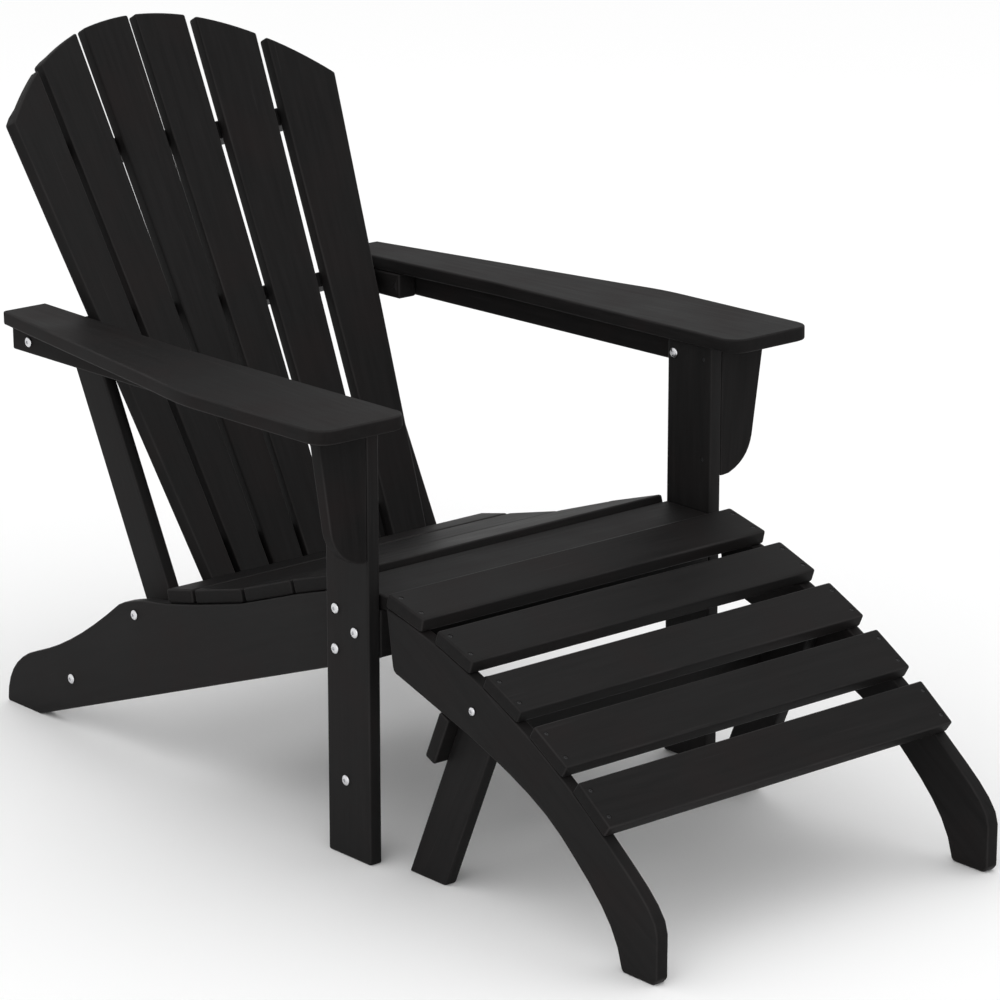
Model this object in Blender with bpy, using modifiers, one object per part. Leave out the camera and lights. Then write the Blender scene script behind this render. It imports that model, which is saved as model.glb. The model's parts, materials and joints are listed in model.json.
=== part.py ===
"""Slatted Adirondack chair with its matching slatted footrest, in moulded plastic lumber.

Every board is its own solid.  The chair is one rigid assembly.  The footrest slides on the
ground in front of it, and its pair of rear legs folds up under its slats on two pivot bolts.

Design frame: metres, +Z up, ground at z = 0, chair mid-plane at x = 0, y = 0 at the front
edges of the chair's front legs.  The chair faces -Y.  The last step centres everything on
the origin in Y.
"""
from math import asin, atan2, cos, pi, radians, sin, sqrt

import bmesh
import bpy
from mathutils import Euler, Matrix, Vector

# ---- stock and hardware ------------------------------------------------------------------
BOARD = 0.019            # thickness of every board
EASE = 0.003             # rounded edge of the boards
GAP = 0.0003             # clearance between touching pieces

SCREW_HEAD_R = 0.0068
SCREW_HEAD_H = 0.0034
SCREW_SHANK_R = 0.0030
SCREW_HOLE_R = 0.0035
BOLT_HEAD_R = 0.0054
BOLT_SHANK_R = 0.0040
BOLT_HOLE_R = 0.0046
ROUND_STEPS = 14
HOLE_OVERSHOOT = 0.010                   # how far a hole's cutter starts outside the board

# ---- chair frame -------------------------------------------------------------------------
LEG_OUTER_X = 0.297
LEG_INNER_X = LEG_OUTER_X - BOARD
LEG_DEPTH = 0.084
STRINGER_OUTER_X = LEG_INNER_X - GAP
STRINGER_INNER_X = STRINGER_OUTER_X - BOARD
STRINGER_FRONT_Y = 0.0194
STRINGER_FOOT = (0.7508, 0.828)      # flat rear foot, front and rear end
STRINGER_RISE = 0.359                # slope of the straight underside

SEAT_SLAT_X = 0.2725                 # half length
FRONT_SLAT_X = 0.2745
# (rear y, rear z, front y, front z) of each slat's top face, rear slat first
SEAT_SLATS = (
    (0.4550, 0.2503, 0.4000, 0.2625),
    (0.3940, 0.2637, 0.2940, 0.2893),
    (0.2880, 0.2915, 0.1900, 0.3258),
    (0.1840, 0.3283, 0.0860, 0.3590),
    (0.0780, 0.3520, -0.0180, 0.3520),
)
APRON_BOTTOM_Z = 0.270

# ---- arms --------------------------------------------------------------------------------
ARM_TOP_Z = 0.593                    # height of the arm's top face at y = 0
ARM_SLOPE = 0.0162                   # fall per metre towards the rear
ARM_FRONT_Y = -0.052
ARM_REAR_Y = 0.744
ARM_INNER_X = 0.270
ARM_OUTER_X = 0.410
ARM_WIDE_TO_Y = 0.200                # outer edge runs straight to here
ARM_TAPER_FROM = (0.392, 0.325)      # x and y where the outer edge becomes a straight taper
ARM_REAR_X = (0.252, 0.3216)
ARM_NARROW_FROM_Y = 0.420            # inner edge starts to draw in
ARM_CORNER_R = 0.025

RAIL_FRONT_Y = 0.0198
RAIL_REAR_Y = 0.743
RAIL_OUTER_X = (0.3170, 0.3083)      # outer face at its front and its rear end
RAIL_DEPTH = 0.035
BLOCK_X = (0.2580, 0.2886)
BLOCK_Y = (0.617, 0.741)
BRACKET_BOTTOM_Z = 0.3975             # the bracket stands flush with the leg's front edge
BRACKET_TOP_X = 0.3731

# ---- reclined back -----------------------------------------------------------------------
RECLINE = radians(28.5)
REF_Z = 0.300                        # height at which the slats are dimensioned
HIGH_Z = 0.850                       # second height, for the fan
SLAT_BOTTOM_Z = 0.188
BACK_TOP_Z = 0.926                   # crown of the top arc
BACK_TOP_R = 0.425
# one row for each slat, from the centre outwards: x of its inner and outer edge low down,
# the same at the high level, y of its front face's middle low down, and its yaw
BACK_SLATS = (
    (0.0043, 0.0588, 0.0058, 0.0832, 0.5414, radians(2.3)),
    (0.0694, 0.1272, 0.0980, 0.1790, 0.5306, radians(11.8)),
    (0.1420, 0.1934, 0.1914, 0.2764, 0.5073, radians(18.3)),
)
SUPPORT_OUTER_X = 0.233
SUPPORT_WIDTH = 0.058
SUPPORT_LOW = (0.5040, 0.1655)       # y, z of the centre line's ends
SUPPORT_HIGH = (0.7058, 0.5580)
FOOT_SPACER = (0.5160, 0.1750, 0.060)    # y, z of its middle, and its height
ARM_SPACER_Y = 0.7045
ARM_SPACER_DEPTH = 0.060
RAIL_CLEARANCE = 0.0010                  # the fan's twist along a rail needs more than GAP
# name, distance up the slope from the reference height, height, half length, depth
BACK_RAILS = (
    ("back_rail_lower", -0.100, BOARD, SUPPORT_OUTER_X - BOARD - GAP, 0.046),
    ("back_strip", -0.059, 0.062, 0.152, 0.028),
    ("back_rail_middle", 0.295, 0.021, SUPPORT_OUTER_X - BOARD - GAP, 0.046),
    ("back_rail_upper", 0.5350, 0.026, 0.2200, 0.046),
)

# ---- chair screws: y and z of the axis, and length -----------------------------------------
LEG_SCREWS = (
    ("upper", 0.065, 0.324, 0.034),
    ("front", 0.027, 0.301, 0.034),
    ("lower", 0.066, 0.271, 0.034),
)
LEG_FOOT_SCREW = (0.047, 0.102, 0.015)
SUPPORT_SCREW = (0.5204, 0.1995, 0.062)
HEEL_SCREW = (0.6714, 0.0713, 0.015)
ARM_SCREW = (0.703, 0.5435, 0.086)
ARM_SCREW_STANDOFF = 0.0008              # from the rail's outer face at its rear end

# ---- footrest ----------------------------------------------------------------------------
REST_OUTER_X = 0.2887
REST_INNER_X = REST_OUTER_X - BOARD
REST_ARC_R = 0.9812                  # radius of the curve through the slats' top faces
REST_ARC_CENTRE = (0.1672, -0.5992)
REST_ANGLES = [radians(angle) for angle in (13.5, 19.2, 24.9, 30.5, 35.95)]
REST_SLAT_WIDTH = 0.070
REST_FOOT = (-0.4595, -0.5198)       # rear and front end of the front foot
PIVOT = (-0.1885, 0.2532)
REST_LEG_WIDTH = 0.063
REST_LEG_FOOT_Y = -0.0775            # middle of the rear leg's foot
STRETCHER_FROM_PIVOT = 0.041         # start of the stretcher, measured down the leg
REST_LEG_CROWN_R = 0.0365            # rounded top of the rear legs, about the pivot

# ---- names of the orientations in which a flat outline is stood up --------------------------
SIDE_ON = (pi / 2, 0.0, pi / 2)      # outline x -> world y, outline y -> world z
FRONT_ON = (pi / 2, 0.0, 0.0)        # outline x -> world x, outline y -> world z

LUMBER = ((0.020, 0.020, 0.021), 0.48, 0.0)
STAINLESS = ((0.62, 0.62, 0.64), 0.25, 1.0)


# ---- general helpers ---------------------------------------------------------------------
def clear_scene():
    for obj in list(bpy.data.objects):
        bpy.data.objects.remove(obj, do_unlink=True)


def new_collection(name):
    collection = bpy.data.collections.new(name)
    bpy.context.scene.collection.children.link(collection)
    return collection


def give_finish(obj, finish):
    """Own Principled material, named after the piece."""
    colour, roughness, metallic = finish
    material = bpy.data.materials.new(obj.name + "_finish")
    material.use_nodes = True
    shader = material.node_tree.nodes["Principled BSDF"]
    shader.inputs["Base Color"].default_value = (*colour, 1.0)
    shader.inputs["Roughness"].default_value = roughness
    shader.inputs["Metallic"].default_value = metallic
    obj.data.materials.append(material)


def place(obj, location, rotation, parent):
    obj.location = location
    obj.rotation_euler = rotation
    obj.parent = parent


def ease_edges(obj, width=EASE):
    bevel = obj.modifiers.new("eased_edges", "BEVEL")
    bevel.width = width
    bevel.segments = 2
    bevel.limit_method = "ANGLE"
    bevel.angle_limit = radians(32)


def mirrored(points):
    """The outline mirrored left to right, kept in the same turning direction."""
    return [(-x, y) for x, y in reversed(points)]


def bezier(p0, p1, p2, p3, steps):
    """Points along a cubic curve, both ends included."""
    points = []
    for i in range(steps + 1):
        t = i / steps
        weights = ((1 - t) ** 3, 3 * t * (1 - t) ** 2, 3 * t * t * (1 - t), t ** 3)
        points.append(tuple(sum(w * p[k] for w, p in zip(weights, (p0, p1, p2, p3)))
                            for k in (0, 1)))
    return points


def arc(centre, radius, start, end, steps):
    """Points along a circular arc, angles in radians, both ends included."""
    turns = [start + (end - start) * i / steps for i in range(steps + 1)]
    return [(centre[0] + radius * cos(a), centre[1] + radius * sin(a)) for a in turns]


class Builder:
    """Makes named pieces in the part's collection, and cutters in their own."""

    def __init__(self):
        self.parts = new_collection("adirondack_chair")
        self.cutters = new_collection("cutters")

    def mesh_object(self, name, mesh, finish):
        obj = bpy.data.objects.new(name, mesh)
        self.parts.objects.link(obj)
        give_finish(obj, finish)
        return obj

    def outline_board(self, name, outline, thickness, location, rotation, parent, skew=0.0):
        """A flat board with the given outline, centred on its thickness.  Skew leans the side
        face nearest the mid-plane, in metres of x for each metre of thickness."""
        curve = bpy.data.curves.new(name + "_outline", "CURVE")
        curve.dimensions = "2D"
        curve.fill_mode = "BOTH"
        curve.extrude = thickness / 2
        spline = curve.splines.new("POLY")
        spline.points.add(len(outline) - 1)
        for point, (x, y) in zip(spline.points, outline):
            point.co = (x, y, 0.0, 1.0)
        spline.use_cyclic_u = True
        source = bpy.data.objects.new(name + "_outline", curve)
        self.parts.objects.link(source)
        graph = bpy.context.evaluated_depsgraph_get()
        mesh = bpy.data.meshes.new_from_object(source.evaluated_get(graph))
        bpy.data.objects.remove(source, do_unlink=True)
        work = bmesh.new()
        work.from_mesh(mesh)
        bmesh.ops.remove_doubles(work, verts=work.verts, dist=0.00001)
        bmesh.ops.dissolve_limit(work, angle_limit=0.001, verts=work.verts, edges=work.edges)
        bmesh.ops.recalc_face_normals(work, faces=work.faces)
        for vertex in work.verts:
            if vertex.co.x * skew < 0:
                vertex.co.x += skew * (vertex.co.z - thickness / 2)
        work.to_mesh(mesh)
        work.free()
        mesh.name = name
        obj = self.mesh_object(name, mesh, LUMBER)
        place(obj, location, rotation, parent)
        ease_edges(obj)
        return obj

    def box_board(self, name, size, location, rotation, parent):
        """A rectangular board, centred on its location."""
        mesh = bpy.data.meshes.new(name)
        work = bmesh.new()
        bmesh.ops.create_cube(work, size=1.0, matrix=Matrix.Diagonal((*size, 1.0)))
        work.to_mesh(mesh)
        work.free()
        obj = self.mesh_object(name, mesh, LUMBER)
        place(obj, location, rotation, parent)
        ease_edges(obj)
        return obj

    def fastener(self, name, head_r, shank_r, shank_length, location, rotation, parent):
        """A domed head on a straight shank, turned about its own +Z, head up."""
        profile = [(0.0, SCREW_HEAD_H)]
        profile += [(head_r * sin(a), SCREW_HEAD_H * (0.25 + 0.75 * cos(a)))
                    for a in (radians(40), radians(65), radians(90))]
        profile += [(head_r, GAP), (shank_r, GAP), (shank_r, -shank_length), (0.0, -shank_length)]
        mesh = bpy.data.meshes.new(name)
        mesh.from_pydata([(r, 0.0, z) for r, z in profile],
                         [(i, i + 1) for i in range(len(profile) - 1)], [])
        obj = self.mesh_object(name, mesh, STAINLESS)
        turn = obj.modifiers.new("turned", "SCREW")
        turn.steps = ROUND_STEPS
        turn.render_steps = ROUND_STEPS
        turn.use_merge_vertices = True
        turn.merge_threshold = 0.00005
        turn.use_smooth_shade = True
        place(obj, location, rotation, parent)
        return obj

    def drill(self, name, radius, length, location, rotation, parent, boards):
        """Cuts one round hole, running down from the location, in each of the boards."""
        mesh = bpy.data.meshes.new(name)
        work = bmesh.new()
        bmesh.ops.create_cone(work, cap_ends=True, segments=ROUND_STEPS, radius1=radius,
                              radius2=radius, depth=length + HOLE_OVERSHOOT,
                              matrix=Matrix.Translation((0, 0, (HOLE_OVERSHOOT - length) / 2)))
        work.to_mesh(mesh)
        work.free()
        cutter = bpy.data.objects.new(name, mesh)
        self.cutters.objects.link(cutter)
        cutter.hide_render = True
        cutter.display_type = "WIRE"
        place(cutter, location, rotation, parent)
        for board in boards:
            cut = board.modifiers.new(name, "BOOLEAN")
            cut.operation = "DIFFERENCE"
            cut.object = cutter

    def screw(self, name, side, outer_x, spot, boards, parent):
        """Horizontal screw with its head on an outward face of the given side.  The spot is
        its y, z and length."""
        y, z, length = spot
        location = (side * outer_x, y, z)
        rotation = (0.0, side * pi / 2, 0.0)
        self.fastener(name, SCREW_HEAD_R, SCREW_SHANK_R, length, location, rotation, parent)
        self.drill(name + "_hole", SCREW_HOLE_R, length + 0.001, location, rotation, parent,
                   boards)


def side_name(side):
    """The sitter's right is -X."""
    return "right" if side < 0 else "left"


# ---- chair -------------------------------------------------------------------------------
def slat_underside(rear_y, rear_z, front_y, front_z):
    """Rear and front corner of a seat slat's underside."""
    tilt = atan2(front_z - rear_z, rear_y - front_y)
    drop = Vector((-sin(tilt), -cos(tilt))) * (BOARD + GAP)
    return Vector((rear_y, rear_z)) + drop, Vector((front_y, front_z)) + drop


def seat(builder, datum):
    for number, (rear_y, rear_z, front_y, front_z) in enumerate(SEAT_SLATS, start=1):
        tilt = atan2(front_z - rear_z, rear_y - front_y)
        depth = sqrt((rear_y - front_y) ** 2 + (front_z - rear_z) ** 2)
        half = FRONT_SLAT_X if number == len(SEAT_SLATS) else SEAT_SLAT_X
        centre = (0.0,
                  (rear_y + front_y) / 2 - sin(tilt) * BOARD / 2,
                  (rear_z + front_z) / 2 - cos(tilt) * BOARD / 2)
        builder.box_board(f"seat_slat_{number}", (2 * half, depth, BOARD), centre,
                          (-tilt, 0.0, 0.0), datum)
    top = SEAT_SLATS[-1][1] - BOARD - GAP
    height = top - APRON_BOTTOM_Z
    builder.box_board("front_apron", (2 * (LEG_INNER_X - GAP), BOARD, height),
                      (0.0, BOARD / 2, APRON_BOTTOM_Z + height / 2), (0.0, 0.0, 0.0), datum)


def stringer_outline():
    """Side view of a stringer: straight below, flat rear foot, swept heel, seat facets."""
    foot_front, foot_rear = STRINGER_FOOT
    outline = [(STRINGER_FRONT_Y, STRINGER_RISE * (foot_front - STRINGER_FRONT_Y)),
               (foot_front, 0.0),
               (foot_rear - 0.002, 0.0)]
    outline += bezier((0.828, 0.003), (0.828, 0.045), (0.800, 0.074), (0.758, 0.089), 7)
    outline += bezier((0.758, 0.089), (0.690, 0.113), (0.630, 0.150), (0.558, 0.205), 7)[1:]
    outline += bezier((0.558, 0.205), (0.545, 0.213), (0.528, 0.217), (0.500, 0.224), 3)[1:]
    for slat in SEAT_SLATS[:-1]:
        rear, front = slat_underside(*slat)
        outline += [tuple(rear), tuple(front)]
    seat_top = SEAT_SLATS[-1][1] - BOARD - GAP
    outline += [(SEAT_SLATS[-1][0], seat_top), (STRINGER_FRONT_Y, seat_top)]
    return outline


def stringers_and_legs(builder, datum):
    frame = {}
    for side in (-1, 1):
        name = side_name(side)
        middle_x = side * (STRINGER_OUTER_X - BOARD / 2)
        stringer = builder.outline_board(f"stringer_{name}", stringer_outline(), BOARD,
                                         (middle_x, 0.0, 0.0), SIDE_ON, datum)
        top = ARM_TOP_Z - BOARD - 2 * GAP
        outline = [(0.0, 0.0), (LEG_DEPTH, 0.0), (LEG_DEPTH, top - ARM_SLOPE * LEG_DEPTH),
                   (0.0, top)]
        leg = builder.outline_board(f"front_leg_{name}", outline, BOARD,
                                    (side * (LEG_OUTER_X - BOARD / 2), 0.0, 0.0),
                                    SIDE_ON, datum)
        frame[side] = (stringer, leg)
    return frame


def arm_outline():
    """Plan view of the left arm, x outwards and y to the rear."""
    r = ARM_CORNER_R
    outline = arc((ARM_INNER_X + r, ARM_FRONT_Y + r), r, pi, 1.5 * pi, 5)
    outline += arc((ARM_OUTER_X - r, ARM_FRONT_Y + r), r, 1.5 * pi, 2 * pi, 5)
    rear_inner, rear_outer = ARM_REAR_X
    from_x, from_y = ARM_TAPER_FROM
    taper = (rear_outer - from_x) / (ARM_REAR_Y - from_y)
    outline += bezier((ARM_OUTER_X, ARM_WIDE_TO_Y), (ARM_OUTER_X, ARM_WIDE_TO_Y + 0.045),
                      (from_x - 0.045 * taper, from_y - 0.045), (from_x, from_y), 7)
    outline += [(rear_outer, ARM_REAR_Y), (rear_inner, ARM_REAR_Y)]
    outline += [(ARM_INNER_X, ARM_NARROW_FROM_Y)]
    return outline


def bracket_outline():
    """Front view of the left arm bracket, x outwards from the leg's outer face."""
    inner = LEG_OUTER_X + GAP
    top = ARM_TOP_Z - BOARD - 2 * GAP
    top -= ARM_SLOPE * BOARD
    outline = [(inner, BRACKET_BOTTOM_Z), (inner + 0.006, BRACKET_BOTTOM_Z)]
    outline += bezier((0.3130, 0.3985), (0.3400, 0.4080), (0.3500, 0.4250), (0.3540, 0.4440), 7)
    outline += [(BRACKET_TOP_X, top), (inner, top)]
    return outline


def arms(builder, datum):
    pitch = atan2(ARM_SLOPE, 1.0)
    pieces = {}
    for side in (-1, 1):
        name = side_name(side)
        outline = arm_outline() if side > 0 else mirrored(arm_outline())
        centre_z = ARM_TOP_Z - BOARD / 2
        builder.outline_board(f"arm_{name}", outline, BOARD, (0.0, 0.0, centre_z),
                              (-pitch, 0.0, 0.0), datum)

        front_x, rear_x = RAIL_OUTER_X
        length = RAIL_REAR_Y - RAIL_FRONT_Y
        yaw = side * atan2(front_x - rear_x, length)
        middle_y = (RAIL_FRONT_Y + RAIL_REAR_Y) / 2
        under_arm = ARM_TOP_Z - BOARD - 2 * GAP - ARM_SLOPE * middle_y
        rail = builder.box_board(f"arm_rail_{name}", (BOARD, length, RAIL_DEPTH),
                                 (side * ((front_x + rear_x) / 2 - BOARD / 2), middle_y,
                                  under_arm - RAIL_DEPTH / 2),
                                 (-pitch, 0.0, yaw), datum)

        middle_y = (BLOCK_Y[0] + BLOCK_Y[1]) / 2
        under_arm = ARM_TOP_Z - BOARD - 2 * GAP - ARM_SLOPE * middle_y
        block = builder.box_board(f"arm_block_{name}",
                                  (BLOCK_X[1] - BLOCK_X[0], BLOCK_Y[1] - BLOCK_Y[0], RAIL_DEPTH),
                                  (side * (BLOCK_X[0] + BLOCK_X[1]) / 2, middle_y,
                                   under_arm - RAIL_DEPTH / 2),
                                  (-pitch, 0.0, 0.0), datum)

        outline = bracket_outline() if side > 0 else mirrored(bracket_outline())
        builder.outline_board(f"arm_bracket_{name}", outline, BOARD,
                              (0.0, BOARD / 2, 0.0), FRONT_ON, datum)
        pieces[side] = (rail, block)
    return pieces


class BackSlat:
    """Plane, edges and outline of one back slat; side is -1 or +1.  Its face is yawed, so that
    the back is hollow, and its inner side face stays parallel to the chair's mid-plane."""

    def __init__(self, row, side):
        inner_low, outer_low, inner_high, outer_high, middle_y, yaw = row
        self.edges_low = (side * inner_low, side * outer_low)
        self.edges_high = (side * inner_high, side * outer_high)
        self.yaw = -side * yaw
        self.rotation = (pi / 2 - RECLINE, 0.0, self.yaw)
        self.middle = Vector((side * (inner_low + outer_low) / 2, middle_y, REF_Z))
        turn = Euler(self.rotation).to_matrix()
        self.across = turn @ Vector((1.0, 0.0, 0.0))
        self.upward = turn @ Vector((0.0, 1.0, 0.0))
        self.rearward = turn @ Vector((0.0, 0.0, -1.0))
        square = Vector((0.0, cos(RECLINE), -sin(RECLINE)))
        self.skew = -square.dot(self.across) / square.dot(self.rearward)

    def edge_x(self, which, z):
        """World x of an edge (0 inner, 1 outer) at a height on the front face."""
        low, high = self.edges_low[which], self.edges_high[which]
        return low + (high - low) * (z - REF_Z) / (HIGH_Z - REF_Z)

    def local(self, x, z):
        """Outline point for a front-face point given by its world x and z."""
        rise = (z - REF_Z) / self.upward.z
        return ((x - self.middle.x - rise * self.upward.x) / self.across.x, rise)

    def outline(self, steps=7):
        inner_top, outer_top = self.edge_x(0, HIGH_Z), self.edge_x(1, HIGH_Z)
        crown = []
        for i in range(steps + 1):
            part = i / steps
            x = inner_top + (outer_top - inner_top) * part
            z = BACK_TOP_Z - BACK_TOP_R + sqrt(BACK_TOP_R ** 2 - x * x)
            x = self.edge_x(0, z) + (self.edge_x(1, z) - self.edge_x(0, z)) * part
            z = BACK_TOP_Z - BACK_TOP_R + sqrt(BACK_TOP_R ** 2 - x * x)
            crown.append(self.local(x, z))
        foot = [self.local(self.edge_x(which, SLAT_BOTTOM_Z), SLAT_BOTTOM_Z) for which in (1, 0)]
        return crown + foot

    def rear_depth(self, x, rise):
        """Depth of the rear face behind the centre plane of the back, measured square to it,
        on the line at the given x and distance up the slope."""
        up = Vector((0.0, sin(RECLINE), cos(RECLINE)))
        square = Vector((0.0, cos(RECLINE), -sin(RECLINE)))
        start = back_reference() + up * rise + Vector((x, 0.0, 0.0))
        face = self.middle + self.rearward * BOARD
        return (face - start).dot(self.rearward) / square.dot(self.rearward)


def back_reference():
    """Front face of the back at mid-plane, at the reference height."""
    return Vector((0.0, BACK_SLATS[0][4], REF_Z))


def back_slats():
    """The six slats from the sitter's right (-X) to the left."""
    right = [BackSlat(row, -1) for row in reversed(BACK_SLATS)]
    left = [BackSlat(row, 1) for row in BACK_SLATS]
    return right + left


def back_rail_outline(slats, rise, height, half, thickness):
    """Plan of a back rail square to the slats: front edge facetted to them, rear edge an arc."""
    front = []
    for slat in slats:
        z = REF_Z + rise * cos(RECLINE)
        for x in sorted((slat.edge_x(0, z), slat.edge_x(1, z))):
            if abs(x) < half - 0.002:
                depth = max(slat.rear_depth(x, rise + s * height / 2) for s in (-1, 1))
                front.append((x, depth + RAIL_CLEARANCE))
    outer = slats[-1]
    end = max(outer.rear_depth(half, rise + s * height / 2) for s in (-1, 1)) + RAIL_CLEARANCE
    front = [(-half, end)] + front + [(half, end)]
    crown = max(depth for _, depth in front) + thickness
    bow = crown - end - thickness
    radius = (half * half + bow * bow) / (2 * bow)
    reach = asin(half / radius)
    rear = arc((0.0, crown - radius), radius, pi / 2 - reach, pi / 2 + reach, 14)
    return front + rear


def back(builder, datum):
    slats = back_slats()
    for number, slat in enumerate(slats, start=1):
        builder.outline_board(f"back_slat_{number}", slat.outline(), BOARD,
                              slat.middle + slat.rearward * BOARD / 2, slat.rotation, datum,
                              skew=slat.skew)
    up = Vector((0.0, sin(RECLINE), cos(RECLINE)))
    for name, rise, height, half, thickness in BACK_RAILS:
        outline = back_rail_outline(slats, rise, height, half, thickness)
        builder.outline_board(name, outline, height, back_reference() + up * rise,
                              (-RECLINE, 0.0, 0.0), datum)


def rear_supports(builder, datum):
    """Reclined posts behind the back, and the spacers that hold them off the frame."""
    low, high = Vector(SUPPORT_LOW), Vector(SUPPORT_HIGH)
    lean = atan2(high.x - low.x, high.y - low.y)
    length = (high - low).length
    middle = (low + high) / 2
    pieces = {}
    for side in (-1, 1):
        name = side_name(side)
        support = builder.box_board(f"rear_support_{name}", (BOARD, SUPPORT_WIDTH, length),
                                    (side * (SUPPORT_OUTER_X - BOARD / 2), middle.x, middle.y),
                                    (-lean, 0.0, 0.0), datum)
        width = STRINGER_INNER_X - SUPPORT_OUTER_X - 2 * GAP
        x = side * (STRINGER_INNER_X + SUPPORT_OUTER_X) / 2
        y, z, height = FOOT_SPACER
        foot_spacer = builder.box_board(f"foot_spacer_{name}", (width, SUPPORT_WIDTH, height),
                                        (x, y, z), (-lean, 0.0, 0.0), datum)
        width = BLOCK_X[0] - SUPPORT_OUTER_X - 2 * GAP
        x = side * (BLOCK_X[0] + SUPPORT_OUTER_X) / 2
        rear_y = ARM_SPACER_Y + ARM_SPACER_DEPTH / 2
        top = ARM_TOP_Z - BOARD - 2 * GAP - ARM_SLOPE * rear_y
        arm_spacer = builder.box_board(f"arm_spacer_{name}", (width, ARM_SPACER_DEPTH, RAIL_DEPTH),
                                       (x, ARM_SPACER_Y, top - RAIL_DEPTH / 2),
                                       (0.0, 0.0, 0.0), datum)
        pieces[side] = (support, foot_spacer, arm_spacer)
    return pieces


def chair_screws(builder, datum, frame, arm_pieces, supports):
    """Stainless screws through the outer faces."""
    for side in (-1, 1):
        name = side_name(side)
        stringer, leg = frame[side]
        rail, block = arm_pieces[side]
        support, foot_spacer, arm_spacer = supports[side]
        for label, *spot in LEG_SCREWS:
            builder.screw(f"leg_screw_{label}_{name}", side, LEG_OUTER_X, spot, (leg, stringer),
                          datum)
        builder.screw(f"leg_screw_foot_{name}", side, LEG_OUTER_X, LEG_FOOT_SCREW, (leg,), datum)
        builder.screw(f"support_screw_{name}", side, STRINGER_OUTER_X, SUPPORT_SCREW,
                      (stringer, foot_spacer, support), datum)
        builder.screw(f"heel_screw_{name}", side, STRINGER_OUTER_X, HEEL_SCREW, (stringer,),
                      datum)
        builder.screw(f"arm_screw_{name}", side, RAIL_OUTER_X[1] + ARM_SCREW_STANDOFF, ARM_SCREW,
                      (rail, block, arm_spacer, support), datum)


# ---- footrest ----------------------------------------------------------------------------
def on_rest_arc(angle, radius):
    """Point at the given radius about the slat curve's centre; the angle leans forwards."""
    return (REST_ARC_CENTRE[0] - radius * sin(angle), REST_ARC_CENTRE[1] + radius * cos(angle))


def rest_side_outline():
    """Side view of a footrest side: curved top under the slats, front foot, ogee underside."""
    radius = REST_ARC_R - BOARD - GAP
    first = asin((REST_ARC_CENTRE[0] + 0.0240) / radius)
    last = REST_ANGLES[-1] + REST_SLAT_WIDTH / 2 / radius
    outline = [on_rest_arc(first + (last - first) * i / 12, radius) for i in range(13)]
    foot_rear, foot_front = REST_FOOT
    outline += bezier(outline[-1], (-0.4610, 0.1300), (foot_front, 0.0920),
                      (foot_front, 0.0620), 6)[1:]
    outline += [(foot_front, 0.007), (foot_front + 0.007, 0.0), (foot_rear - 0.001, 0.0)]
    outline += bezier((foot_rear + 0.002, 0.004), (-0.4475, 0.0560), (-0.4065, 0.0900),
                      (-0.3490, 0.1385), 6)
    outline += bezier((-0.3490, 0.1385), (-0.3070, 0.1720), (-0.2500, 0.1940),
                      (-0.1800, 0.2196), 5)[1:]
    outline += [(-0.0470, 0.2610)]
    outline += arc((-0.0470, 0.2730), 0.0120, 1.5 * pi, 1.95 * pi, 3)[1:]
    return outline


def footrest_sides(builder, slide):
    boards = {}
    for side in (-1, 1):
        x = side * (REST_OUTER_X - BOARD / 2)
        boards[side] = builder.outline_board(f"footrest_side_{side_name(side)}",
                                             rest_side_outline(), BOARD, (x, 0.0, 0.0),
                                             SIDE_ON, slide)
    return boards


def footrest_slats(builder, slide):
    for number, angle in enumerate(REST_ANGLES, start=1):
        y, z = on_rest_arc(angle, REST_ARC_R - BOARD / 2)
        builder.box_board(f"footrest_slat_{number}",
                          (2 * REST_OUTER_X, REST_SLAT_WIDTH, BOARD), (0.0, y, z),
                          (angle, 0.0, 0.0), slide)


def footrest_leg_outline(lean):
    """Side view of a rear leg about the pivot: rounded top, foot cut level with the ground."""
    half = REST_LEG_WIDTH / 2
    down = Vector((sin(lean), -cos(lean)))
    square = Vector((cos(lean), sin(lean)))
    drop = PIVOT[1]
    spread = asin(half / REST_LEG_CROWN_R)
    top = lean + pi / 2
    outline = arc((0.0, 0.0), REST_LEG_CROWN_R, top - spread, top + spread, 10)
    for offset in (-half, half):
        start = square * offset
        reach = (drop + start.y) / -down.y
        foot = start + down * reach
        outline.append((foot.x, foot.y))
    return outline


def folding_legs(builder, pivot, boards):
    """Two rear legs and the stretcher behind them, turning about the pivot bolts."""
    lean = atan2(REST_LEG_FOOT_Y - PIVOT[0], PIVOT[1])
    legs = {}
    for side in (-1, 1):
        x = side * (REST_INNER_X - GAP - BOARD / 2)
        legs[side] = builder.outline_board(f"footrest_leg_{side_name(side)}",
                                           footrest_leg_outline(lean), BOARD, (x, 0.0, 0.0),
                                           SIDE_ON, pivot)
    down = Vector((0.0, sin(lean), -cos(lean)))
    square = Vector((0.0, cos(lean), sin(lean)))
    centre = (down * (STRETCHER_FROM_PIVOT + REST_SLAT_WIDTH / 2)
              + square * (REST_LEG_WIDTH / 2 + GAP + BOARD / 2))
    builder.box_board("footrest_stretcher", (2 * REST_OUTER_X, BOARD, REST_SLAT_WIDTH),
                      centre, (lean, 0.0, 0.0), pivot)
    return legs


def pivot_bolts(builder, slide, sides, legs):
    for side in (-1, 1):
        location = (side * REST_OUTER_X, PIVOT[0], PIVOT[1])
        rotation = (0.0, side * pi / 2, 0.0)
        name = f"pivot_bolt_{side_name(side)}"
        length = 2 * BOARD + GAP + 0.004
        builder.fastener(name, BOLT_HEAD_R, BOLT_SHANK_R, length, location, rotation, slide)
        builder.drill(name + "_hole", BOLT_HOLE_R, length + 0.002, location, rotation, slide,
                      (sides[side], legs[side]))


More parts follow.
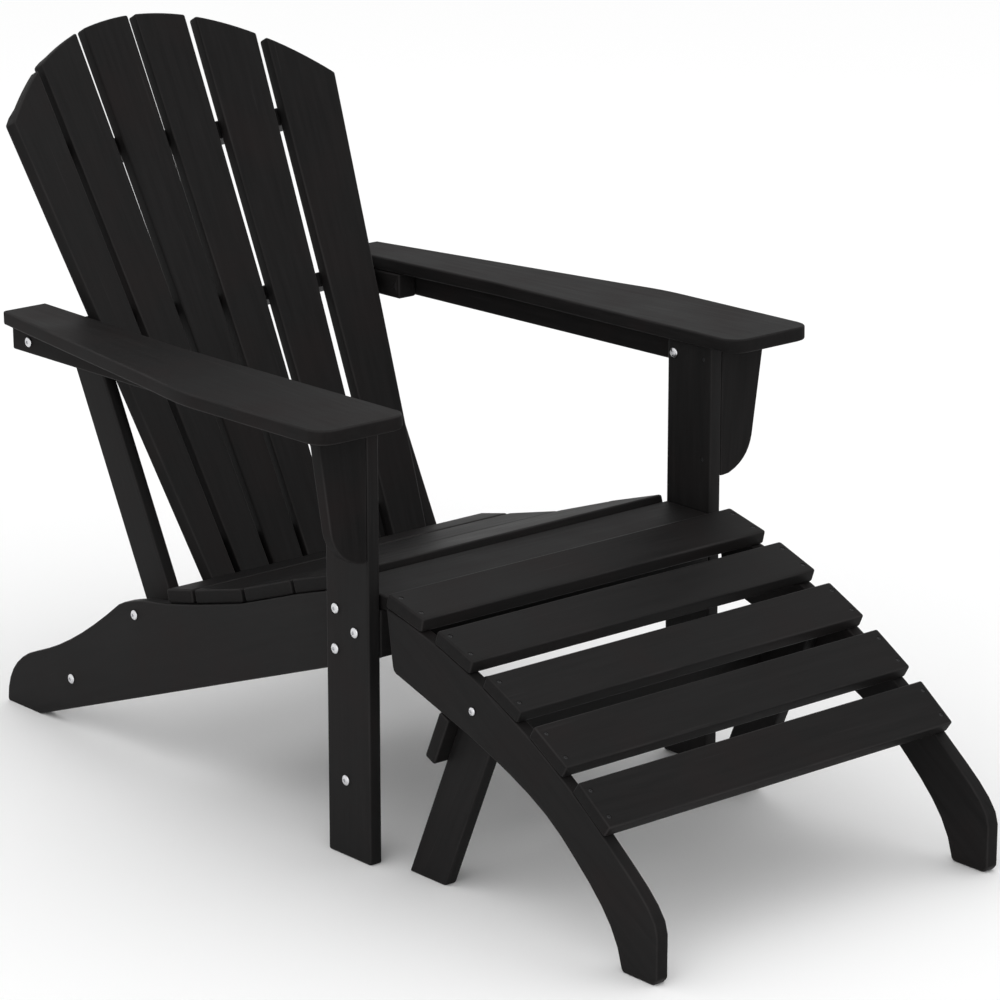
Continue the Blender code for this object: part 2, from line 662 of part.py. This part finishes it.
# ---- whole part --------------------------------------------------------------------------
def add_empty(collection, name, location, parent=None):
    empty = bpy.data.objects.new(name, None)
    collection.objects.link(empty)
    empty.location = location
    empty.parent = parent
    return empty


def centre_in_y(datum, collection):
    """Moves the whole part so that its box is centred on the origin in Y."""
    graph = bpy.context.evaluated_depsgraph_get()
    reach = [(graph.id_eval_get(obj).matrix_world @ vertex.co).y
             for obj in collection.objects if obj.type == "MESH"
             for vertex in graph.id_eval_get(obj).data.vertices]
    datum.location.y -= (min(reach) + max(reach)) / 2


def main():
    clear_scene()
    builder = Builder()
    datum = add_empty(builder.parts, "chair_datum", (0.0, 0.0, 0.0))
    slide = add_empty(builder.parts, "footrest_slide", (0.0, 0.0, 0.0), datum)
    pivot = add_empty(builder.parts, "footrest_pivot", (0.0, *PIVOT), slide)

    seat(builder, datum)
    frame = stringers_and_legs(builder, datum)
    arm_pieces = arms(builder, datum)
    back(builder, datum)
    supports = rear_supports(builder, datum)
    chair_screws(builder, datum, frame, arm_pieces, supports)

    footrest_slats(builder, slide)
    sides = footrest_sides(builder, slide)
    legs = folding_legs(builder, pivot, sides)
    pivot_bolts(builder, slide, sides, legs)

    bpy.context.view_layer.update()
    centre_in_y(datum, builder.parts)
    bpy.context.view_layer.update()


main()
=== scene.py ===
"""Looks for the Adirondack chair and its footrest: black plastic lumber and steel screws.

Each board is remade from its solid in the frame.  It keeps its own coordinates (X along the
grain, Z out of its broadest face) as an attribute, so that the lumber's grain follows it.
Screws are turned afresh, with driver recesses, and the small deck screws sit in pockets.
"""
import json
import math

import bmesh
import bpy
import numpy as np
from mathutils import Matrix, Vector


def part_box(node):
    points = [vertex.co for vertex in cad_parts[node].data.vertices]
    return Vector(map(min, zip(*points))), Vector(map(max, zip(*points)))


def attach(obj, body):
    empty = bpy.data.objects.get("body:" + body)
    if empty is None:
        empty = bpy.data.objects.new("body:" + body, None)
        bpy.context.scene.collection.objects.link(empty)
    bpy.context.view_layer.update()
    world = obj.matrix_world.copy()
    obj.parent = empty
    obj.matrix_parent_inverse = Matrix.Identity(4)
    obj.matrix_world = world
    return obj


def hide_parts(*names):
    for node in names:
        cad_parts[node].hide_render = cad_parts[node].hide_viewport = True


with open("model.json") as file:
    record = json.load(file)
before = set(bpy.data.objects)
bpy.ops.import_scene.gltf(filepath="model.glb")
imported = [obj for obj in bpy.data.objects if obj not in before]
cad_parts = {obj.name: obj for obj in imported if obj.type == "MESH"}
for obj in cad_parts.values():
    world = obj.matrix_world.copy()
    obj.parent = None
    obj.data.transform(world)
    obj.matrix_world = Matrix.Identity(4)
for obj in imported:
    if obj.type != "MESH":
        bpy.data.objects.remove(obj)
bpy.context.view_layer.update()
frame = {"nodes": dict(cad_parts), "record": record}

SLOT_OF = {part["node"]: part["material_slot"] for part in frame["record"]["subparts"]}
BODY_OF = {node: body for body, nodes in frame["record"]["behaviour"]["bodies"].items()
           for node in nodes}
FRONT_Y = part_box("front_leg_right")[0].y         # front edges of the front legs
LEG_INNER_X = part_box("front_leg_left")[0].x
BLOCK_INNER_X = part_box("arm_block_left")[0].x

# ---- view and light ----------------------------------------------------------------------
CAMERA_TARGET = Vector((0.0, FRONT_Y + 0.0978, 0.3999))
CAMERA_DISTANCE = 5.547
CAMERA_AZIMUTH = math.radians(-40.55)            # 0 looks along +Y
CAMERA_ELEVATION = math.radians(16.32)
LENS = 155.39
SENSOR = 36.0
WORLD_COLOUR = (1.0, 1.0, 1.0, 1.0)
WORLD_STRENGTH = 1.03
# name, azimuth and elevation in degrees, distance, size, power
LAMPS = (
    ("overhead_softbox", 0.0, 88.0, 3.6, 4.0, 6.0),
    ("front_softbox", -58.0, 18.0, 4.2, 2.4, 16.0),
    ("rear_softbox", 150.0, 38.0, 4.6, 2.6, 9.0),
)
FLOOR_COLOUR = (0.95, 0.95, 0.95, 1.0)
FLOOR_REACH = 40.0

# ---- stainless button heads --------------------------------------------------------------
TURN_STEPS = 48
HEAD_H = 0.0034
HEAD_CROWN = 0.75                                # share of the head's height that is domed
HEAD_BEVEL = 0.0003                              # under the head's rim
HEAD_SEAT = 0.0003                               # underside's height above the board
SOCKET_R = 0.0021                                # across-flats radius of the hex socket
SOCKET_DEPTH = 0.0021
SOCKET_FLARE = 1.22                              # width of the socket's lead-in, times its own
SCREW_SHANK_R = 0.0030
BOLT_SHANK_R = 0.0040
SHANK_POINT = 0.0010                             # length of the tapered tip
SHANK_TAPER = 0.0008
RAIL_SCREW_HEAD_R = 0.0068
RAIL_SCREW_SEAT = 0.0001
RAIL_SCREW_BACK = 0.0714                         # from the legs' front edges
RAIL_SCREW_Z = 0.5543

# ---- black deck screws -------------------------------------------------------------------
DECK_HEAD_R = 0.0027
DECK_HEAD_SINK = 0.0006                          # below the board's face
DECK_DRIVE_R = 0.0009                            # across-flats radius of the square drive
POCKET_R = 0.0034
POCKET_TAPER = 0.0003                            # of the pocket's mouth
POCKET_MOUTH = 0.0008
POCKET_DEPTH = 0.0016
LEG_SCREW_BACK = 0.016                           # from the legs' front edges
LEG_SCREW_Z = (0.555, 0.420)
BLOCK_SCREW_BACK = 0.011                         # from an arm block's front face
SLAT_SCREW_INSET = 0.0094                        # from the end of a footrest slat
SLAT_SCREW_SPREAD = 0.020                        # either side of the slat's middle

# ---- boards ------------------------------------------------------------------------------
WELD = 0.000002
FLAT_ANGLE = math.radians(0.4)                   # faces closer to level than this are joined
NARROW = 0.004                                   # faces narrower than this are eased edges
SAWN_FACING = 0.8
OUTWARD_HINT = Vector((0.2, -0.5, 1.0))          # which of two broad faces counts as the front
BOARD_SHARP = math.radians(62)                   # edges sharper than this aren't smoothed
STEEL_SHARP = math.radians(50)

# ---- lumber: linear colours at a tone of 1, and heights of its relief ----------------------
LUMBER_DARK = (0.0074, 0.0071, 0.0071)
LUMBER_PALE = (0.0128, 0.0121, 0.0121)
LUMBER_WARM = (0.0145, 0.0108, 0.0106)
# paler colour of the scuffs, which are wear, and of the eased edges, where it is partly a
# painted highlight
LUMBER_RUBBED_AND_HIGHLIGHT = (0.036, 0.034, 0.034)
LUMBER_SPECULAR = 0.45
SEED_STEP = 3.71                                 # from one board's noise to the next one's
STREAK_RELIEF = 0.00022
GRAIN_RELIEF = 0.00006
PORE_RELIEF = 0.000012
SAW_RELIEF = 0.00010
# Tone scales the colours, and gloss is how much smoother than plain stock its faces are.
# slot: tone, gloss, IOR
LUMBER_LOOKS = {
    "back_lumber": (1.00, 0.02, 1.17),
    "seat_lumber": (1.05, 0.00, 1.14),
    "frame_lumber": (1.00, 0.02, 1.17),
    "arm_lumber": (1.05, 0.00, 1.12),
    "footrest_lumber": (1.00, 0.04, 1.16),
}


# ---- materials ---------------------------------------------------------------------------
class Shader:
    """A Principled material, and short ways of adding nodes to it."""

    def __init__(self, name):
        self.material = bpy.data.materials.new(name)
        self.material.use_nodes = True
        self.tree = self.material.node_tree
        self.surface = self.tree.nodes["Principled BSDF"]

    def fill(self, node, inputs):
        """Links each input that is another node's socket, and sets each one that is a value."""
        for key, value in inputs.items():
            if isinstance(value, bpy.types.NodeSocket):
                self.tree.links.new(value, node.inputs[key])
            else:
                node.inputs[key].default_value = value

    def add(self, kind, inputs, **settings):
        node = self.tree.nodes.new("ShaderNode" + kind)
        for key, value in settings.items():
            setattr(node, key, value)
        self.fill(node, inputs)
        return node

    def attribute(self, name, output, kind="GEOMETRY"):
        return self.add("Attribute", {}, attribute_type=kind,
                        attribute_name=name).outputs[output]

    def math(self, operation, first, second):
        return self.add("Math", {0: first, 1: second}, operation=operation).outputs[0]

    def noise(self, vector, seed, scale, detail, roughness=0.5):
        node = self.add("TexNoise", {"Vector": vector, "W": seed, "Scale": scale,
                                     "Detail": detail, "Roughness": roughness},
                        noise_dimensions="4D")
        return node.outputs["Fac"]

    def span(self, value, low, high, to_low=0.0, to_high=1.0):
        """Maps a stretch of the value's range to another, clamped."""
        node = self.add("MapRange", {"Value": value, "From Min": low, "From Max": high,
                                     "To Min": to_low, "To Max": to_high})
        return node.outputs["Result"]

    def mix(self, factor, first, second):
        """Mixes two colours, which are the Mix node's inputs 6 and 7."""
        node = self.add("Mix", {0: factor, 6: first, 7: second}, data_type="RGBA")
        return node.outputs[2]

    def bump(self, height, distance, normal=None):
        node = self.add("Bump", {"Height": height, "Distance": distance, "Strength": 1.0})
        if normal is not None:
            self.tree.links.new(normal, node.inputs["Normal"])
        return node.outputs["Normal"]


def lumber(name, tone, gloss, ior):
    """Moulded lumber: a fine grain drawn along the board, faint mottling and scuffs, eased edges
    a little smoother and painted a little paler, partly wear and partly a painted highlight,
    and sawn ends."""
    shader = Shader(name)
    place = shader.attribute("board_place", "Vector")
    number = shader.attribute("board_number", "Fac", "OBJECT")
    seed = shader.math("MULTIPLY", number, SEED_STEP)

    def drawn_out(ratio):
        return shader.add("Mapping", {"Vector": place, "Scale": (1.0, ratio, ratio)}).outputs[0]

    def toned(colour):
        return (*(tone * part for part in colour), 1.0)

    streaks = shader.noise(drawn_out(16.0), seed, 9.0, 5.0, 0.6)
    grain = shader.noise(drawn_out(22.0), seed, 55.0, 3.0, 0.6)
    mottle = shader.noise(place, seed, 8.0, 3.0, 0.55)
    pores = shader.noise(place, seed, 1300.0, 1.0)
    scuffs = shader.span(shader.noise(drawn_out(45.0), seed, 5.0, 2.0, 0.4), 0.70, 0.76)
    sawn = shader.attribute("sawn", "Fac")
    saw_lines = shader.add("TexWave", {"Vector": place, "Scale": 190.0, "Distortion": 2.5,
                                       "Detail": 2.0}, bands_direction="Y").outputs["Fac"]

    dark = toned(LUMBER_DARK)
    rubbed_and_highlight = toned(LUMBER_RUBBED_AND_HIGHLIGHT)
    colour = shader.mix(shader.span(streaks, 0.30, 0.72), dark, toned(LUMBER_PALE))
    colour = shader.mix(shader.span(mottle, 0.50, 0.74, 0.0, 0.55), colour, toned(LUMBER_WARM))
    colour = shader.mix(shader.math("MULTIPLY", scuffs, 0.22), colour, rubbed_and_highlight)
    # eased edges painted paler, varied by the mottling: a painted highlight along them, partly
    # also wear
    crest = shader.attribute("crest", "Fac")
    edge_highlight_and_wear = shader.math("MULTIPLY", crest, shader.span(mottle, 0.35, 0.65, 0.15, 0.6))
    colour = shader.mix(edge_highlight_and_wear, colour, rubbed_and_highlight)
    colour = shader.mix(shader.math("MULTIPLY", sawn, 0.3), colour, dark)

    roughness = shader.span(streaks, 0.3, 0.7, 0.50 - gloss, 0.60 - gloss)
    roughness = shader.math("ADD", roughness, shader.span(mottle, 0.3, 0.7, -0.04, 0.05))
    roughness = shader.math("SUBTRACT", roughness, shader.math("MULTIPLY", edge_highlight_and_wear, 0.10))
    roughness = shader.math("ADD", roughness, shader.math("MULTIPLY", sawn, 0.12))

    normal = shader.bump(streaks, STREAK_RELIEF)
    normal = shader.bump(grain, GRAIN_RELIEF, normal)
    normal = shader.bump(pores, PORE_RELIEF, normal)
    normal = shader.bump(shader.math("MULTIPLY", saw_lines, sawn), SAW_RELIEF, normal)
    shader.fill(shader.surface, {"Base Color": colour, "Roughness": roughness,
                                 "Normal": normal, "IOR": ior,
                                 "Specular IOR Level": LUMBER_SPECULAR})
    return shader.material


def stainless():
    """Turned stainless heads: fine rings about the screw's axis, and faint handling marks."""
    shader = Shader("stainless_steel")
    place = shader.add("TexCoord", {}).outputs["Object"]
    rings = shader.add("TexWave", {"Vector": place, "Scale": 900.0, "Distortion": 0.6},
                       wave_type="RINGS", rings_direction="Z").outputs["Fac"]
    marks = shader.noise(place, 1.7, 380.0, 4.0, 0.6)
    colour = shader.mix(shader.span(marks, 0.35, 0.7), (0.60, 0.60, 0.62, 1.0),
                        (0.74, 0.74, 0.75, 1.0))
    normal = shader.bump(marks, 0.00002, shader.bump(rings, 0.000006))
    shader.fill(shader.surface, {"Base Color": colour, "Metallic": 1.0, "Normal": normal,
                                 "Roughness": shader.span(marks, 0.3, 0.7, 0.20, 0.36)})
    return shader.material


def black_steel():
    """Black coated deck screws, the coating scraped a little by the driver."""
    shader = Shader("black_steel")
    place = shader.add("TexCoord", {}).outputs["Object"]
    marks = shader.noise(place, 4.1, 700.0, 3.0, 0.6)
    colour = shader.mix(shader.span(marks, 0.58, 0.75), (0.008, 0.008, 0.009, 1.0),
                        (0.050, 0.049, 0.048, 1.0))
    shader.fill(shader.surface, {"Base Color": colour, "Metallic": 0.35,
                                 "Roughness": shader.span(marks, 0.3, 0.7, 0.32, 0.5),
                                 "Normal": shader.bump(marks, 0.00003)})
    return shader.material


def floor_finish():
    shader = Shader("studio_floor")
    shader.fill(shader.surface, {"Base Color": FLOOR_COLOUR, "Roughness": 0.9,
                                 "Specular IOR Level": 0.0})
    return shader.material


FINISHES = {slot: lumber(slot, *look) for slot, look in LUMBER_LOOKS.items()}
FINISHES["stainless_steel"] = stainless()
FINISHES["black_steel"] = black_steel()


# ---- general helpers ---------------------------------------------------------------------
def add_object(name, data):
    """A new object in the scene, at the origin."""
    thing = bpy.data.objects.new(name, data)
    bpy.context.scene.collection.objects.link(thing)
    return thing


def join_frame(piece, body, slot):
    """Gives a finished piece its body, its slot and its material."""
    piece.data.materials.clear()
    piece.data.materials.append(FINISHES[slot])
    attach(piece, body)


def smooth(piece, sharp_angle):
    """Flat faces stay flat and the eased edges between them turn smoothly."""
    piece.data.shade_smooth()
    piece.data.set_sharp_from_angle(angle=sharp_angle)
    weighted = piece.modifiers.new("weighted_normals", "WEIGHTED_NORMAL")
    weighted.keep_sharp = True


def turned(name, rings):
    """A closed turned solid about +Z.  Each ring is (radius, height, sides): sides is 0 for a
    round ring, or the number of flats, and the radius is then that of the flats."""
    mesh = bpy.data.meshes.new(name)
    work = bmesh.new()
    loops = []
    for radius, height, sides in rings:
        loop = []
        for step in range(TURN_STEPS):
            turn = 2 * math.pi * step / TURN_STEPS
            reach = radius
            if sides:
                flat = 2 * math.pi / sides
                reach = radius / math.cos((turn + flat / 2) % flat - flat / 2)
            loop.append(work.verts.new((reach * math.cos(turn), reach * math.sin(turn), height)))
        loops.append(loop)
    for lower, upper in zip(loops, loops[1:]):
        for step in range(TURN_STEPS):
            after = (step + 1) % TURN_STEPS
            work.faces.new((lower[step], lower[after], upper[after], upper[step]))
    work.faces.new(loops[0])
    work.faces.new(loops[-1])
    bmesh.ops.recalc_face_normals(work, faces=work.faces)
    work.to_mesh(mesh)
    work.free()
    return mesh


def stand(outward, place):
    """Matrix that turns +Z to an outward direction, at a place."""
    turn = Vector(outward).to_track_quat("Z", "Y").to_matrix().to_4x4()
    return Matrix.Translation(place) @ turn


# ---- deck screws -------------------------------------------------------------------------
def deck_head():
    """Flat head with a square drive, its top a little below the board's face."""
    top = -DECK_HEAD_SINK
    rings = ((DECK_DRIVE_R, top - 0.0006, 4), (DECK_DRIVE_R, top - 0.0001, 4),
             (DECK_DRIVE_R + 0.0002, top, 0), (DECK_HEAD_R - 0.0003, top, 0),
             (DECK_HEAD_R, top - 0.0002, 0), (DECK_HEAD_R - 0.0004, -POCKET_DEPTH + 0.0001, 0))
    mesh = turned("deck_head", rings)
    mesh.shade_smooth()
    mesh.set_sharp_from_angle(angle=STEEL_SHARP)
    return mesh


def frame_screws(node):
    """Outward directions and places of the deck screws that show in a leg or an arm block."""
    low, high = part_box(node)
    side = math.copysign(1.0, low.x)
    inward = (-side, 0.0, 0.0)
    if node.startswith("front_leg"):
        return [(inward, Vector((side * LEG_INNER_X, FRONT_Y + LEG_SCREW_BACK, z)))
                for z in LEG_SCREW_Z]
    if node.startswith("arm_block"):
        return [(inward, Vector((side * BLOCK_INNER_X, low.y + BLOCK_SCREW_BACK,
                                 (low.z + high.z) / 2)))]
    return []


def slat_screws(matrix, work):
    """The same for a footrest slat: two near each of its ends, in its top face."""
    flat = [matrix.inverted() @ vertex.co for vertex in work.verts]
    end = max(point.x for point in flat) - SLAT_SCREW_INSET
    top = max(point.z for point in flat)
    outward = matrix.to_3x3() @ Vector((0.0, 0.0, 1.0))
    return [(outward, matrix @ Vector((x, y, top)))
            for x in (-end, end) for y in (-SLAT_SCREW_SPREAD, SLAT_SCREW_SPREAD)]


def cut_pockets(piece, screws):
    """Cuts a pocket for each deck screw, given by its outward direction and its place."""
    rings = ((POCKET_R + POCKET_TAPER, POCKET_MOUTH, 0), (POCKET_R, 0.0, 0),
             (POCKET_R - POCKET_TAPER, -POCKET_MOUTH, 0),
             (POCKET_R - POCKET_TAPER, -POCKET_DEPTH, 0))
    work = bmesh.new()
    for outward, place in screws:
        one = turned("pocket", rings)
        one.transform(stand(outward, place))
        work.from_mesh(one)
        bpy.data.meshes.remove(one)
    mesh = bpy.data.meshes.new("pockets")
    work.to_mesh(mesh)
    work.free()
    cutter = add_object("pockets", mesh)
    cut = piece.modifiers.new("pockets", "BOOLEAN")
    cut.operation = "DIFFERENCE"
    cut.object = cutter
    graph = bpy.context.evaluated_depsgraph_get()
    piece.data = bpy.data.meshes.new_from_object(piece.evaluated_get(graph))
    piece.modifiers.clear()
    bpy.data.objects.remove(cutter, do_unlink=True)


# ---- boards ------------------------------------------------------------------------------
def board_matrix(work):
    """The board's own axes: X along its length, Z out of its broadest face."""
    broad = max(work.faces, key=lambda face: face.calc_area())
    ends = np.array([[tuple(vertex.co) for vertex in edge.verts] for edge in broad.edges])
    weights = np.tile(np.linalg.norm(ends[:, 0] - ends[:, 1], axis=1), 3)
    points = np.concatenate((ends[:, 0], ends[:, 1], ends.mean(axis=1)))
    points -= np.average(points, axis=0, weights=weights)
    _, directions = np.linalg.eigh((points * weights[:, None]).T @ points)
    along = Vector(directions[:, -1])
    if max(along, key=abs) < 0:
        along.negate()
    corners = [vertex.co for vertex in work.verts]
    centre = Vector([(min(corner[axis] for corner in corners)
                      + max(corner[axis] for corner in corners)) / 2 for axis in range(3)])
    outward = broad.normal.copy()
    hint = OUTWARD_HINT.copy()
    hint.x = math.copysign(hint.x, centre.x)
    if outward.dot(hint) < 0:
        outward.negate()
    across = outward.cross(along).normalized()
    along = across.cross(outward)
    axes = Matrix((along, across, outward)).transposed().to_4x4()
    return Matrix.Translation(centre) @ axes


def mark_crests_and_ends(mesh, along):
    """Crest is 1 in the middle of an eased edge; sawn is 1 on the faces across the grain."""
    work = bmesh.new()
    work.from_mesh(mesh)
    crest = work.verts.layers.float.new("crest")
    sawn = work.verts.layers.float.new("sawn")
    width = {face: face.calc_area() / max(edge.calc_length() for edge in face.edges)
             for face in work.faces}
    for vertex in work.verts:
        wide = [face for face in vertex.link_faces if width[face] >= NARROW]
        vertex[crest] = 0.0 if wide else 1.0
        vertex[sawn] = float(any(abs(face.normal.dot(along)) > SAWN_FACING for face in wide))
    work.to_mesh(mesh)
    work.free()


def mark_places(mesh, matrix):
    """Keeps each vertex's place in the board's own coordinates, for the grain to follow."""
    into_board = matrix.inverted()
    layer = mesh.attributes.new("board_place", "FLOAT_VECTOR", "POINT")
    for vertex in mesh.vertices:
        layer.data[vertex.index].vector = into_board @ vertex.co


def make_board(node, number, head):
    """The finished board that stands for a CAD node, with its deck screws."""
    work = bmesh.new()
    work.from_mesh(frame["nodes"][node].data)
    bmesh.ops.remove_doubles(work, verts=work.verts, dist=WELD)
    bmesh.ops.dissolve_limit(work, angle_limit=FLAT_ANGLE, verts=work.verts, edges=work.edges)
    matrix = board_matrix(work)
    if node.startswith("footrest_slat"):
        screws = slat_screws(matrix, work)
    else:
        screws = frame_screws(node)
    mesh = bpy.data.meshes.new(node + "_board")
    work.to_mesh(mesh)
    work.free()
    piece = add_object(node + "_board", mesh)
    if screws:
        cut_pockets(piece, screws)
    mark_crests_and_ends(piece.data, matrix.col[0].xyz)
    mark_places(piece.data, matrix)
    smooth(piece, BOARD_SHARP)
    piece["board_number"] = float(number)
    join_frame(piece, BODY_OF[node], SLOT_OF[node])
    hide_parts(node)
    for index, (outward, place) in enumerate(screws, start=1):
        screw = add_object(f"{node}_deck_screw_{index}", head)
        screw.matrix_world = stand(outward, place)
        join_frame(screw, BODY_OF[node], "black_steel")


# ---- stainless screws and bolts ----------------------------------------------------------
def button_rings(head_r, seat, shank_r=0.0, shank_length=0.0):
    """Domed head with a hex socket, and its shank if it has one.  Height 0 is the board's
    face, and seat is the height of the head's underside."""
    rings = [(SOCKET_R, HEAD_H - SOCKET_DEPTH, 6), (SOCKET_R, HEAD_H - 0.0003, 6),
             (SOCKET_R * SOCKET_FLARE, HEAD_H - 0.0001, 0)]
    for step in range(3, 11):
        turn = math.radians(9.0 * step)
        dome = 1.0 - HEAD_CROWN + HEAD_CROWN * math.cos(turn)
        rings.append((head_r * math.sin(turn), HEAD_H * dome, 0))
    rings += [(head_r, seat + HEAD_BEVEL, 0), (head_r - HEAD_BEVEL, seat, 0)]
    if shank_length:
        rings += [(shank_r, seat, 0), (shank_r, SHANK_POINT - shank_length, 0),
                  (shank_r - SHANK_TAPER, -shank_length, 0)]
    return rings


def make_screw(node):
    """The finished screw or bolt for a CAD fastener, which lies along X, head outwards."""
    low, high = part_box(node)
    side = math.copysign(1.0, low.x)
    tip, top = sorted((abs(low.x), abs(high.x)))
    middle = (low + high) / 2
    face = top - HEAD_H
    shank_r = BOLT_SHANK_R if node.startswith("pivot_bolt") else SCREW_SHANK_R
    rings = button_rings((high.z - low.z) / 2, HEAD_SEAT, shank_r, face - tip)
    piece = add_object(node + "_steel", turned(node, rings))
    piece.matrix_world = stand((side, 0.0, 0.0), Vector((side * face, middle.y, middle.z)))
    smooth(piece, STEEL_SHARP)
    join_frame(piece, BODY_OF[node], SLOT_OF[node])
    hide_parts(node)


def rail_screws():
    """One more stainless head on each front leg's inner face, into the arm's rail."""
    for name, side in (("left", 1), ("right", -1)):
        rings = button_rings(RAIL_SCREW_HEAD_R, RAIL_SCREW_SEAT)
        place = Vector((side * LEG_INNER_X, FRONT_Y + RAIL_SCREW_BACK, RAIL_SCREW_Z))
        piece = add_object("rail_screw_" + name, turned("rail_screw", rings))
        piece.matrix_world = stand((-side, 0.0, 0.0), place)
        smooth(piece, STEEL_SHARP)
        join_frame(piece, "chair", "stainless_steel")


# ---- studio ------------------------------------------------------------------------------
def direction(azimuth, elevation):
    """From the target towards a viewer or lamp; azimuth 0 is in front, on the -Y side."""
    return Vector((math.sin(azimuth) * math.cos(elevation),
                   -math.cos(azimuth) * math.cos(elevation), math.sin(elevation)))


def aim(thing, azimuth, elevation, distance):
    """Puts a camera or lamp at a distance from the target, looking at it."""
    outward = direction(azimuth, elevation)
    thing.location = CAMERA_TARGET + outward * distance
    thing.rotation_euler = (-outward).to_track_quat("-Z", "Y").to_euler()


def studio_floor():
    mesh = bpy.data.meshes.new("studio_floor")
    work = bmesh.new()
    bmesh.ops.create_grid(work, x_segments=8, y_segments=8, size=FLOOR_REACH)
    work.to_mesh(mesh)
    work.free()
    mesh.materials.append(floor_finish())
    add_object("studio_floor", mesh)


def studio_light():
    world = bpy.data.worlds.new("studio")
    bpy.context.scene.world = world
    world.use_nodes = True
    background = world.node_tree.nodes["Background"]
    background.inputs["Color"].default_value = WORLD_COLOUR
    background.inputs["Strength"].default_value = WORLD_STRENGTH
    for name, azimuth, elevation, distance, size, power in LAMPS:
        light = bpy.data.lights.new(name, "AREA")
        light.shape = "DISK"
        light.size = size
        light.energy = power
        aim(add_object(name, light), math.radians(azimuth), math.radians(elevation), distance)


def studio_camera():
    lens = bpy.data.cameras.new("camera")
    lens.lens = LENS
    lens.sensor_width = SENSOR
    camera = add_object("camera", lens)
    aim(camera, CAMERA_AZIMUTH, CAMERA_ELEVATION, CAMERA_DISTANCE)
    bpy.context.scene.camera = camera
    bpy.context.scene.view_settings.view_transform = "Standard"


# ---- everything --------------------------------------------------------------------------
head_mesh = deck_head()
for number, node in enumerate(sorted(SLOT_OF), start=1):
    if SLOT_OF[node] == "stainless_steel":
        make_screw(node)
    else:
        make_board(node, number, head_mesh)
rail_screws()
studio_floor()
studio_light()
studio_camera()

bpy.context.view_layer.update()
